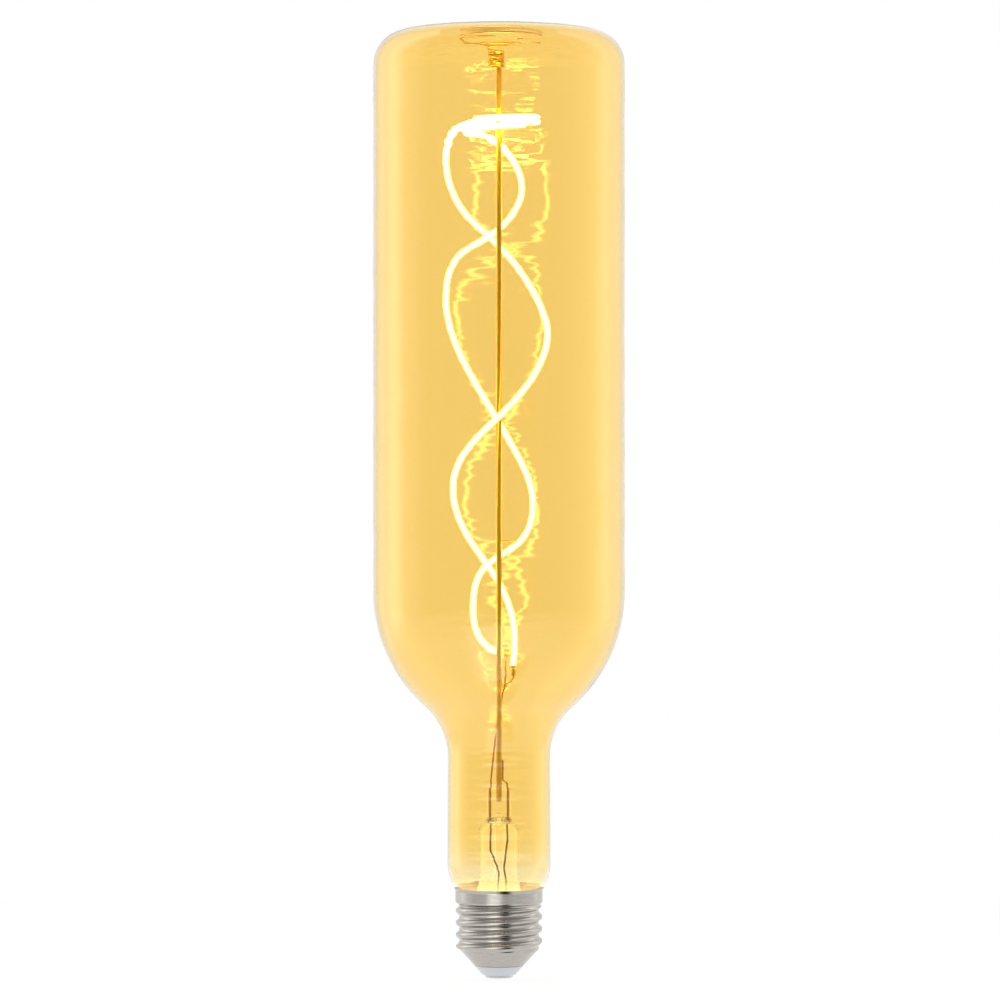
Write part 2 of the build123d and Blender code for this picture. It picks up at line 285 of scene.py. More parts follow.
@dataclass(frozen=True)
class Worked(Finish):
    """A surface with marks of how it was made: stretched grain in its gloss and colour."""

    grain_mm: tuple[float, float, float] = (1.0, 1.0, 1.0)
    dull: float = 0.1
    shade: str = "#808080"
    detail: float = 3.0

    def pattern(self, tree: Tree, shader: Node) -> None:
        """Lay the grain over the shader.

        Args:
            tree: Material's node tree.
            shader: Its main shader node.
        """
        marks = grain(tree, self.grain_mm, self.detail)
        gloss = ramp(tree, marks, NOISE_SPAN, (self.roughness, self.roughness + self.dull), "LINEAR")
        tree.links.new(gloss, shader.inputs["Roughness"])
        tree.links.new(blend(tree, marks, self.colour, self.shade), shader.inputs["Base Color"])


@dataclass(frozen=True)
class Blown(Finish):
    """Tinted glass: paler at its foot, with a painted glow at the foot, and fine rings from the blowing,
    deepest at both ends of the body.
    """

    foot_colour: str = "#FFFFFF"
    painted_foot_light: float = 0.0
    # Strength of the painted glow at the foot
    foot_mm: float = 0.0
    full_mm: float = 1.0
    # Height over which the painted glow at the foot fades out
    painted_light_fade_mm: float = 5.0
    ring_mm: tuple[float, float, float] = (20.0, 20.0, 3.2)
    ring_detail: float = 1.0
    ring_depth_mm: float = 0.85
    ring_share: float = 0.22
    low_mm: Span = (70.0, 110.0)
    high_mm: Span = (238.0, 256.0)
    rim: Span = (0.03, 0.15)

    def pattern(self, tree: Tree, shader: Node) -> None:
        """Fade the tint, paint a glow at the foot that lightens it, and lay the rings, but not at the outline.

        Args:
            tree: Material's node tree.
            shader: Its main shader node.
        """
        faded = height_run(tree, (self.foot_mm, self.full_mm))
        tree.links.new(blend(tree, faded, self.foot_colour, self.colour), shader.inputs["Base Color"])
        # Painted light: emission that lightens the glass's foot, where the view into the cap lies in shade
        glow_limits = (self.foot_mm - self.painted_light_fade_mm, self.foot_mm)
        painted_glow = height_run(tree, glow_limits, (self.painted_foot_light, 0.0), "LINEAR")
        tree.links.new(painted_glow, shader.inputs["Emission Strength"])
        low = height_run(tree, self.low_mm, (1.0, self.ring_share))
        high = height_run(tree, self.high_mm, (0.0, 1.0 - self.ring_share))
        facing = add_node(tree, "ShaderNodeLayerWeight", {"Blend": 0.5}).outputs["Facing"]
        calm = ramp(tree, facing, self.rim, (1.0, 0.0))
        shown = calc(tree, "MULTIPLY", calc(tree, "ADD", low, high), calm)
        rings = calc(tree, "MULTIPLY", grain(tree, self.ring_mm, self.ring_detail), shown)
        relief = {"Height": rings, "Distance": self.ring_depth_mm * MM, "Strength": 1.0}
        bump = add_node(tree, "ShaderNodeBump", relief)
        tree.links.new(bump.outputs[0], shader.inputs["Normal"])


@dataclass(frozen=True)
class Lit(Finish):
    """A lit strip that shines brighter at its fold."""

    fold_glow: float = 1.0
    fold_mm: Span = (244.0, 254.0)

    def pattern(self, tree: Tree, shader: Node) -> None:
        """Raise the light towards the fold.

        Args:
            tree: Material's node tree.
            shader: Its main shader node.
        """
        light = height_run(tree, self.fold_mm, (self.glow_strength, self.fold_glow))
        tree.links.new(light, shader.inputs["Emission Strength"])


@dataclass(frozen=True)
class Clouded(Finish):
    """Clear glass that turns cloudy towards its foot, with a painted glow: faint all over, where it lightens
    the outlines, and stronger at the foot.
    """

    foot_clear: float = 1.0
    # Strength of the painted glow at the foot
    painted_foot_light: float = 0.0
    foot_mm: float = 0.0
    full_mm: float = 1.0

    def pattern(self, tree: Tree, shader: Node) -> None:
        """Run the clearness and the painted glow from the foot's to the full ones.

        Args:
            tree: Material's node tree.
            shader: Its main shader node.
        """
        for socket, ends in (
            ("Transmission Weight", (self.foot_clear, self.transmission)),
            ("Emission Strength", (self.painted_foot_light, self.glow_strength)),
        ):
            share = height_run(tree, (self.foot_mm, self.full_mm), ends, "LINEAR")
            tree.links.new(share, shader.inputs[socket])


# Soda-lime glass, blown and coated amber: clear and glossy, takes out blue, less so near the cap, with painted
# light glowing at its foot
AMBER_GLASS = Blown(
    "Amber coated soda-lime glass, blown", "#FFE8A6", 0.0, ior=1.5, transmission=1.0,
    # The glow at the foot is painted light that lightens the shaded view into the cap
    glow="#FFE9B4", foot_colour="#FDF1CC", painted_foot_light=0.3, foot_mm=29.0, full_mm=43.0,
)
# Lead-free tubing glass, drawn and fire polished: clear, and clouded where its flare is fused to the neck, with
# a faint painted glow that lightens its outlines, stronger at the foot
CLEAR_GLASS = Clouded(
    "Clear tubing glass, fire polished", "#FFFFFF", 0.02, ior=1.52, transmission=1.0,
    # The glow is painted light: faint all over the stem glass and stronger at its foot
    glow="#FFEDA8", glow_strength=0.04, foot_clear=0.35, painted_foot_light=0.4, foot_mm=25.0,
    full_mm=31.0,
)
# Row of lit chips on a flexible strip: reads as one white line
FILAMENT_CORE = Lit("LED chips, lit", "#FFFFFF", 0.5, glow="#FFF6DC", glow_strength=6.0, fold_glow=20.0)
# Silicone mixed with phosphor, extruded round the strip: yellow, cloudy and glowing
FILAMENT_COAT = Lit(
    "Phosphor silicone, extruded", "#FFF0B4", 0.2, ior=1.41, transmission=0.95, glow="#FFDC78",
    glow_strength=1.5, fold_glow=9.0,
)
# Steel wire, drawn: soft, with fine marks along it; its golden colour is painted light that stands in for the
# filament's warm light on it
WIRE = Worked(
    # Painted light: the golden colour stands in for the filament's warm light, not for a plating
    "Steel wire, drawn, golden as painted lamplight", "#FFE25A", 0.28, 0.9,
    grain_mm=(0.25, 0.25, 4.0), dull=0.15, shade="#E6C238",
)
# Copper-clad sealing wire, oxidised in the flame: dark brown and dull
LEAD = Worked(
    "Copper-clad sealing wire, oxidised", "#6E4C38", 0.38, 1.0,
    grain_mm=(0.4, 0.4, 2.0), dull=0.2, shade="#3C2A22",
)
# Nickel-iron core clad in copper, sealed in the press: reddish gold and soft
SEAL = Worked(
    "Copper-clad sealing wire, bright", "#F4C650", 0.4, 0.7,
    grain_mm=(0.4, 0.4, 2.0), dull=0.15, shade="#D29A38",
)
# Brass strip, rolled to a thread and nickel plated: warm grey with faint marks round it from the rolls
SHELL = Worked(
    "Brass shell, rolled and nickel plated", "#C6C2BC", 0.12, 1.0,
    grain_mm=(3.0, 3.0, 0.3), dull=0.12, shade="#ABA69E",
)
# Brass button, pressed and tinned: soft grey shine
CONTACT = Worked(
    "Brass contact, pressed and tinned", "#DCDCDA", 0.32, 1.0,
    grain_mm=(0.6, 0.6, 0.6), dull=0.15, shade="#C4C4C2",
)
# Thermoset insulator, moulded: pale, smooth and slightly glossy
INSULATOR = Finish("Thermoset insulator, moulded", "#D2D6D9", 0.34)
# Capping cement, cured: chalky and matt
CEMENT = Worked(
    "Capping cement, cured", "#EFE7D6", 0.8,
    grain_mm=(0.5, 0.5, 0.5), dull=0.15, shade="#DCD0B8",
)
# Glass-fibre laminate under green lacquer: glossy with a faint weave
BOARD = Worked(
    "Glass-fibre laminate, lacquered", "#1F5A36", 0.25,
    grain_mm=(0.5, 4.0, 0.5), dull=0.1, shade="#1A4A2D",
)
# Epoxy package, moulded: black and matt
PACKAGE = Finish("Epoxy package, moulded", "#1C1C1D", 0.55)
# Plastic sleeve shrunk on an aluminium can: dark and glossy
SLEEVE = Finish("Capacitor sleeve, shrunk", "#20242C", 0.3)
# Lacquered ceramic body of a fusible resistor: green-grey, semi-gloss
RESISTOR = Finish("Ceramic resistor, lacquered", "#7FA396", 0.4)


def tree_with(name: str, sockets: dict[str, str]) -> tuple[Tree, Node]:
    """Start a geometry tree with its named inputs and one geometry output.

    Args:
        name: Name of the tree.
        sockets: Input name to socket type, after the geometry input.

    Returns:
        The tree and its input node.
    """
    tree = bpy.data.node_groups.new(name, "GeometryNodeTree")
    for label, kind in {"Geometry": "NodeSocketGeometry", **sockets}.items():
        tree.interface.new_socket(label, in_out="INPUT", socket_type=kind)
    tree.interface.new_socket("Geometry", in_out="OUTPUT", socket_type="NodeSocketGeometry")
    return tree, add_node(tree, "NodeGroupInput")


def close_tree(tree: Tree, shape: Socket, given: Node) -> Tree:
    """End a geometry tree: smooth shading, real geometry and the material.

    Args:
        tree: Tree to end.
        shape: Socket that gives the finished shape.
        given: The tree's input node.

    Returns:
        The tree.
    """
    smooth = add_node(tree, "GeometryNodeSetShadeSmooth", {"Geometry": shape})
    real = add_node(tree, "GeometryNodeRealizeInstances", {"Geometry": smooth.outputs[0]})
    paint = {"Geometry": real.outputs[0], "Material": given.outputs["Material"]}
    painted = add_node(tree, "GeometryNodeSetMaterial", paint)
    add_node(tree, "NodeGroupOutput", {"Geometry": painted.outputs[0]})
    return tree


def turning_tree() -> Tree:
    """Build the tree that turns a half section, given as a line of points, about the Z axis.

    Returns:
        The tree, with inputs for the number of steps round the axis and the material.
    """
    tree, given = tree_with("Turned piece", {"Steps": "NodeSocketInt", "Material": "NodeSocketMaterial"})
    section, steps = given.outputs["Geometry"], given.outputs["Steps"]
    count = add_node(tree, "GeometryNodeAttributeDomainSize", {"Geometry": section}).outputs["Point Count"]
    columns = calc(tree, "ADD", steps, 1.0)
    grid = add_node(tree, "GeometryNodeMeshGrid", {"Vertices X": columns, "Vertices Y": count})
    index = add_node(tree, "GeometryNodeInputIndex").outputs[0]
    row = calc(tree, "MODULO", index, count)
    column = calc(tree, "FLOOR", calc(tree, "DIVIDE", index, count))
    angle = calc(tree, "MULTIPLY", calc(tree, "DIVIDE", column, steps), math.tau)
    where = add_node(tree, "GeometryNodeInputPosition").outputs[0]
    point = add_node(
        tree,
        "GeometryNodeSampleIndex",
        {"Geometry": section, "Value": where, "Index": row},
        data_type="FLOAT_VECTOR",
        domain="POINT",
    )
    around = {"Vector": point.outputs[0], "Angle": angle}
    turned = add_node(tree, "ShaderNodeVectorRotate", around, rotation_type="Z_AXIS")
    places = {"Geometry": grid.outputs[0], "Position": turned.outputs[0]}
    moved = add_node(tree, "GeometryNodeSetPosition", places).outputs[0]
    closed = add_node(tree, "GeometryNodeMergeByDistance", {"Geometry": moved, "Distance": MERGE})
    return close_tree(tree, closed.outputs[0], given)


def push_out(tree: Tree, given: Node, parts: Node, rise: Socket) -> Tree:
    """End a geometry tree that moves each point of its shape away from the axis.

    Args:
        tree: Tree to end.
        given: The tree's input node.
        parts: Node with a point's three coordinates.
        rise: How far the point moves.

    Returns:
        The tree.
    """
    flat = add_node(tree, "ShaderNodeCombineXYZ", {0: parts.outputs[0], 1: parts.outputs[1], 2: 0.0})
    out = add_node(tree, "ShaderNodeVectorMath", {0: flat.outputs[0]}, operation="NORMALIZE")
    push = add_node(tree, "ShaderNodeVectorMath", {0: out.outputs[0], "Scale": rise}, operation="SCALE")
    moves = {"Geometry": given.outputs["Geometry"], "Offset": push.outputs[0]}
    return close_tree(tree, add_node(tree, "GeometryNodeSetPosition", moves).outputs[0], given)


def ripple_tree() -> Tree:
    """Build the tree that lays the slow waves of blown glass into a turned wall, both faces alike.

    Returns:
        The tree, with inputs for the waves' depth and size and for the height where they begin.
    """
    sockets = {name: "NodeSocketFloat" for name in ("Depth", "Foot", "Full")}
    sockets |= {"Wave": "NodeSocketVector", "Material": "NodeSocketMaterial"}
    tree, given = tree_with("Blown ripples", sockets)
    where = add_node(tree, "GeometryNodeInputPosition").outputs[0]
    laid = add_node(tree, "ShaderNodeVectorMath", {0: where, 1: given.outputs["Wave"]}, operation="DIVIDE")
    wave = add_node(tree, "ShaderNodeTexNoise", {"Vector": laid.outputs[0], "Scale": 1.0, "Detail": 0.0})
    parts = add_node(tree, "ShaderNodeSeparateXYZ", {0: where})
    begun = ramp(tree, parts.outputs[2], (given.outputs["Foot"], given.outputs["Full"]))
    deep = calc(tree, "MULTIPLY", wave.outputs[0], given.outputs["Depth"])
    inward = calc(tree, "MULTIPLY", calc(tree, "MULTIPLY", deep, begun), -1.0)
    return push_out(tree, given, parts, inward)


def thread_tree() -> Tree:
    """Build the tree that rolls a right-hand round thread into a turned wall.

    Returns:
        The tree, with inputs for the thread's pitch, depth, start and ends.
    """
    names = ["Pitch", "Depth", "Start Height", "Start Turn", "Foot", "Top", "Run Out"]
    sockets = {name: "NodeSocketFloat" for name in names}
    tree, given = tree_with("Rolled thread", {**sockets, "Material": "NodeSocketMaterial"})
    pitch, depth, start_height, start_turn, low, high, run_out = (given.outputs[name] for name in names)
    where = add_node(tree, "GeometryNodeInputPosition").outputs[0]
    parts = add_node(tree, "ShaderNodeSeparateXYZ", {0: where})
    x, y, z = (parts.outputs[axis] for axis in range(3))
    turn = calc(tree, "DIVIDE", calc(tree, "ARCTAN2", y, x), math.tau)
    climb = calc(tree, "DIVIDE", calc(tree, "SUBTRACT", z, start_height), pitch)
    phase = calc(tree, "SUBTRACT", calc(tree, "ADD", climb, start_turn), turn)
    inside = calc(tree, "FRACT", calc(tree, "ADD", phase, 0.5))
    away = calc(tree, "MULTIPLY", calc(tree, "ABSOLUTE", calc(tree, "SUBTRACT", inside, 0.5)), 2.0)
    crest = ramp(tree, away, CREST_SPAN, (1.0, 0.0), "SMOOTHERSTEP")
    foot = ramp(tree, z, (low, calc(tree, "ADD", low, run_out)), (0.0, 1.0), "SMOOTHERSTEP")
    top = ramp(tree, z, (calc(tree, "SUBTRACT", high, run_out), high), (1.0, 0.0), "SMOOTHERSTEP")
    rise = calc(tree, "MULTIPLY", calc(tree, "MULTIPLY", crest, depth), calc(tree, "MULTIPLY", foot, top))
    return push_out(tree, given, parts, rise)


def wire_tree() -> Tree:
    """Build the tree that draws a round wire along a line of points.

    Returns:
        The tree, with inputs for the wire's radius, its sides and the material.
    """
    sockets = {"Radius": "NodeSocketFloat", "Sides": "NodeSocketInt", "Material": "NodeSocketMaterial"}
    tree, given = tree_with("Drawn wire", sockets)
    path = add_node(tree, "GeometryNodeMeshToCurve", {"Mesh": given.outputs["Geometry"]})
    size = {"Radius": given.outputs["Radius"], "Resolution": given.outputs["Sides"]}
    ring = add_node(tree, "GeometryNodeCurvePrimitiveCircle", size)
    sweep = {"Curve": path.outputs[0], "Profile Curve": ring.outputs[0], "Fill Caps": True}
    tube = add_node(tree, "GeometryNodeCurveToMesh", sweep)
    return close_tree(tree, tube.outputs[0], given)


def settle(piece: Object, crease: float = 40.0) -> None:
    """Turn a piece with live modifiers into a plain closed mesh whose faces point outwards.

    Args:
        piece: Object to settle, in place.
        crease: Angle in degrees above which an edge stays sharp.
    """
    graph = bpy.context.evaluated_depsgraph_get()
    mesh = bpy.data.meshes.new_from_object(
        piece.evaluated_get(graph), preserve_all_data_layers=True, depsgraph=graph
    )
    piece.modifiers.clear()
    piece.data = mesh
    work = bmesh.new()
    work.from_mesh(mesh)
    bmesh.ops.remove_doubles(work, verts=work.verts, dist=WELD)
    if work.calc_volume(signed=True) < 0:
        bmesh.ops.reverse_faces(work, faces=work.faces)
    work.to_mesh(mesh)
    work.free()
    mesh.set_sharp_from_angle(angle=math.radians(crease))


def add_object(name: str, data: bpy.types.ID) -> Object:
    """Add an object to the scene.

    Args:
        name: Name of the object.
        data: Its mesh or camera.

    Returns:
        The new object.
    """
    made = bpy.data.objects.new(name, data)
    bpy.context.scene.collection.objects.link(made)
    return made


def line_piece(name: str, points: Points) -> Object:
    """Make an object that holds a line of points.

    Args:
        name: Name of the piece.
        points: Points in millimetres.

    Returns:
        The object, linked to the scene.
    """
    mesh = bpy.data.meshes.new(name)
    places = [tuple(c * MM for c in point) for point in points]
    mesh.from_pydata(places, [(i, i + 1) for i in range(len(places) - 1)], [])
    return add_object(name, mesh)


def grow(piece: Object, tree: Tree, **values: object) -> None:
    """Put a geometry tree on a piece and set its named inputs by their identifiers.

    Args:
        piece: Object that takes the tree.
        tree: Geometry tree.
        values: Input name, with underscores for spaces, to its value.
    """
    modifier = piece.modifiers.new(tree.name, "NODES")
    modifier.node_group = tree
    wanted = {key.replace("_", " "): value for key, value in values.items()}
    for item in tree.interface.items_tree:
        if item.in_out == "INPUT" and item.name in wanted:
            modifier[item.identifier] = wanted[item.name]


def fit(piece: Object, node: str) -> None:
    """Fix a finished piece to the object in place of a CAD node.

    Args:
        piece: Finished piece.
        node: CAD node that it stands for.
    """
    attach(piece, ROOT)
    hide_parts(node)
    log.info("%s: %d faces", piece.name, len(piece.data.polygons))


def rounded(
    points: Points, bends: dict[int, float], steps: int = 8, reach: float = 0.49
) -> list[tuple[float, ...]]:
    """Round the corners of a line of points.

    Args:
        points: Corner points, in the plane or in space.
        bends: Point number to its bend radius.
        steps: Number of steps along each bend.
        reach: Share of the stretch beside it that a bend may take up.

    Returns:
        The points of the rounded line.
    """
    corners = [np.array(point, dtype=float) for point in points]
    line: list[tuple[float, ...]] = []
    for number, corner in enumerate(corners):
        if number not in bends:
            line.append(tuple(corner))
            continue
        back = corners[number - 1] - corner
        ahead = corners[(number + 1) % len(corners)] - corner
        back_unit = back / np.linalg.norm(back)
        ahead_unit = ahead / np.linalg.norm(ahead)
        half = math.acos(np.clip(back_unit @ ahead_unit, -1, 1)) / 2
        if half > math.radians(STRAIGHT):
            line.append(tuple(corner))
            continue
        room = reach * min(np.linalg.norm(back), np.linalg.norm(ahead))
        radius = min(bends[number], room * math.tan(half))
        inward = (back_unit + ahead_unit) / np.linalg.norm(back_unit + ahead_unit)
        centre = corner + inward * radius / math.sin(half)
        across = (ahead_unit - back_unit) / np.linalg.norm(ahead_unit - back_unit)
        sweep = math.pi / 2 - half
        for step in range(steps + 1):
            angle = sweep * (2 * step / steps - 1)
            line.append(tuple(centre + radius * (math.sin(angle) * across - math.cos(angle) * inward)))
    return line


def divided(line: Sequence[tuple[float, ...]], step: float) -> list[tuple[float, ...]]:
    """Put extra points into the long stretches of a line.

    Args:
        line: Points of the line.
        step: Longest stretch to leave.

    Returns:
        The line with its extra points.
    """
    fine = [line[0]]
    for a, b in zip(line, line[1:]):
        parts = max(1, math.ceil(math.dist(a, b) / step))
        fine += [tuple(p + (q - p) * i / parts for p, q in zip(a, b)) for i in range(1, parts + 1)]
    return fine


def smooth_run(points: Points, start: Sequence[float], end: Sequence[float]) -> list[np.ndarray]:
    """Draw a smooth curve through points, with given directions at both ends.

    Args:
        points: Points in millimetres.
        start: Direction at the first point.
        end: Direction at the last point.

    Returns:
        Points about one run step apart.
    """
    knots = np.array(points, dtype=float)
    chords = np.linalg.norm(np.diff(knots, axis=0), axis=1)
    count = len(knots)
    matrix = np.eye(count)
    right = np.zeros((count, 3))
    right[0] = np.array(start) / np.linalg.norm(start)
    right[-1] = np.array(end) / np.linalg.norm(end)
    for i in range(1, count - 1):
        before, after = chords[i - 1], chords[i]
        matrix[i, i - 1 : i + 2] = after, 2 * (before + after), before
        right[i] = 3 * (before / after * (knots[i + 1] - knots[i]) + after / before * (knots[i] - knots[i - 1]))
    slopes = np.linalg.solve(matrix, right)
    run: list[np.ndarray] = []
    for i, chord in enumerate(chords):
        steps = max(2, round(chord / RUN_STEP))
        for u in np.linspace(0, 1, steps, endpoint=False):
            h00, h10 = 2 * u**3 - 3 * u**2 + 1, u**3 - 2 * u**2 + u
            h01, h11 = -2 * u**3 + 3 * u**2, u**3 - u**2
            slope = chord * (h10 * slopes[i] + h11 * slopes[i + 1])
            run.append(h00 * knots[i] + h01 * knots[i + 1] + slope)
    run.append(knots[-1])
    return run


def arc(start: np.ndarray, middle: np.ndarray, end: np.ndarray, steps: int = 24) -> list[np.ndarray]:
    """Half circle from start over middle to end.

    Args:
        start: First point.
        middle: Point half way round.
        end: Last point, opposite the first.
        steps: Number of steps.

    Returns:
        The points, without the first and the last.
    """
    centre = (start + end) / 2
    angles = [math.pi * step / steps for step in range(1, steps)]
    return [centre + (start - centre) * math.cos(a) + (middle - centre) * math.sin(a) for a in angles]


@dataclass
class Workshop:
    """The geometry trees that the pieces are made with."""

    turning: Tree = field(default_factory=turning_tree)
    rippling: Tree = field(default_factory=ripple_tree)
    threading: Tree = field(default_factory=thread_tree)
    drawing: Tree = field(default_factory=wire_tree)

    def turn(self, name: str, section: Sequence[tuple[float, ...]], finish: Finish, steps: int) -> Object:
        """Turn a half section about the axis, without settling it.

        Args:
            name: Name of the piece.
            section: Points of radius and height in millimetres.
            finish: Surface of the piece.
            steps: Steps round the axis.

        Returns:
            The piece with its tree live.
        """
        piece = line_piece(name, [(point[0], 0.0, point[1]) for point in section])
        grow(piece, self.turning, Steps=steps, Material=finish.material())
        return piece

    def draw(
        self, name: str, path: Points, diameter: float, finish: Finish, sides: int = 16, bend: float = 0.0
    ) -> Object:
        """Draw a round wire along a path and settle it.

        Args:
            name: Name of the piece.
            path: Points in millimetres.
            diameter: Wire's diameter in millimetres.
            finish: Surface of the wire.
            sides: Sides of its section.
            bend: Radius that rounds the path's corners, or nought to leave them.

        Returns:
            The finished piece.
        """
        if bend:
            path = rounded(path, {i: bend for i in range(1, len(path) - 1)})
        piece = line_piece(name, path)
        grow(piece, self.drawing, Radius=diameter / 2 * MM, Sides=sides, Material=finish.material())
        settle(piece)
        return piece


@dataclass
class GlassEnvelope:
    """Blown bottle of amber glass. Sizes in millimetres."""

    length: float = 286.0
    diameter: float = 76.0
    neck: float = 31.0
    wall: float = 0.9
    crown: float = 260.0
    corner: float = 10.0
    shoulder_foot: float = 75.0
    shoulder_angle: float = 47.0
    shoulder: float = 46.0
    nape: float = 20.0
    tuck_angle: float = 38.0
    tuck_height: float = 29.94
    tuck: float = 12.0
    seal_height: float = 22.2
    ripple: float = 0.3
    ripple_width: float = 18.0
    ripple_height: float = 9.0
    ripple_start: float = 6.0
    crown_steps: int = 12
    bend_steps: int = 14
    row: float = 2.0
    steps: int = 144

    def surface(self, inset: float) -> list[tuple[float, ...]]:
        """Half section of the bottle's surface, from the top to the seal.

        Args:
            inset: How far inside the outer surface it lies.

        Returns:
            Points of radius and height.
        """
        body = self.diameter / 2 - inset
        neck = self.neck / 2 - inset
        crown = self.crown - inset
        corner = self.corner - inset
        centre = self.length - self.crown
        bend_x = body - corner
        bend_z = centre + math.sqrt((crown - corner) ** 2 - bend_x**2)
        lean = math.asin(bend_x / (crown - corner))
        leans = [lean * i / self.crown_steps for i in range(self.crown_steps)]
        top = [(crown * math.sin(a), centre + crown * math.cos(a)) for a in leans]
        turns = [lean + (math.pi / 2 - lean) * i / self.bend_steps for i in range(self.bend_steps + 1)]
        bend = [(bend_x + corner * math.sin(a), bend_z + corner * math.cos(a)) for a in turns]
        slope = math.tan(math.radians(self.shoulder_angle))
        neck_top = self.shoulder_foot + inset * math.tan(math.radians(self.shoulder_angle / 2))
        body_foot = neck_top + (body - neck) / slope
        neck_foot = self.tuck_height + inset * math.tan(math.radians(self.tuck_angle / 2))
        end = neck - (neck_foot - self.seal_height) * math.tan(math.radians(self.tuck_angle))
        side = [bend[-1], (body, body_foot), (neck, neck_top), (neck, neck_foot), (end, self.seal_height)]
        bends = {1: self.shoulder - inset, 2: self.nape + inset, 3: self.tuck - inset}
        return top + bend[:-1] + rounded(side, bends, self.bend_steps, reach=0.9)

    def build(self, shop: Workshop) -> None:
        """Turn the outer and inner surfaces as one closed wall.

        Args:
            shop: Trees to make the pieces with.
        """
        outer, inner = (divided(self.surface(inset), self.row) for inset in (0.0, self.wall))
        section = outer + inner[::-1]
        piece = shop.turn("blown_envelope", section, AMBER_GLASS, self.steps)
        grow(
            piece,
            shop.rippling,
            Depth=self.ripple * MM,
            Foot=(self.tuck_height + self.ripple_start) * MM,
            Full=self.shoulder_foot * MM,
            Wave=(self.ripple_width * MM, self.ripple_width * MM, self.ripple_height * MM),
            Material=AMBER_GLASS.material(),
        )
        settle(piece)
        fit(piece, "glass_envelope")


@dataclass
class GlassStem:
    """Flare, press and exhaust tube, fused in the flame."""

    voxel: float = 0.25
    melts: int = 8
    softness: float = 0.5
    crease: float = 80.0

    def build(self) -> None:
        """Fuse the stem's solid into one soft-edged glass body."""
        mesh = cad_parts["glass_stem"].data.copy()
        work = bmesh.new()
        work.from_mesh(mesh)
        bmesh.ops.remove_doubles(work, verts=work.verts, dist=MERGE)
        work.to_mesh(mesh)
        work.free()
        piece = add_object("fused_stem", mesh)
        fuse = piece.modifiers.new("Fuse", "REMESH")
        fuse.mode = "VOXEL"
        fuse.voxel_size = self.voxel * MM
        fuse.use_smooth_shade = True
        melt = piece.modifiers.new("Melt", "SMOOTH")
        melt.factor = self.softness
        melt.iterations = self.melts
        settle(piece, self.crease)
        piece.data.materials.clear()
        piece.data.materials.append(CLEAR_GLASS.material())
        fit(piece, "glass_stem")


# Centre lines of the two strands in millimetres, the feed going up and the return going down
FEED_STRAND = (
    (4.3, 0.8, 93.0), (4.7, 2.0, 102.0), (-0.9, 6.5, 120.0), (-9.6, 5.0, 132.7),
    (-13.8, 0.0, 148.0), (-11.0, -4.5, 156.5), (0.3, -7.0, 168.8), (10.0, -5.0, 180.2),
    (14.6, 0.0, 193.5), (11.7, 5.5, 203.7), (-0.6, 8.2, 221.0), (-10.8, 6.8, 230.8),
    (-15.9, 2.5, 244.4), (-13.4, -2.6, 254.0), (-6.0, -5.8, 257.2), (3.0, -6.3, 257.7),
)
RETURN_STRAND = (
    (0.6, 4.6, 250.2), (6.9, 3.6, 236.9), (-3.0, 3.4, 223.0), (-12.6, 1.8, 216.4),
    (-15.8, 0.6, 207.7), (-6.6, 4.0, 177.8), (5.6, 4.5, 157.0), (10.2, 2.4, 143.5),
    (6.6, 2.4, 131.2), (-4.6, 2.2, 122.9), (-7.8, 0.8, 112.0), (-5.2, 1.6, 101.2),
    (1.2, 3.6, 97.6),
)
RETURN_END = (0.98, 0.2, 0.0)


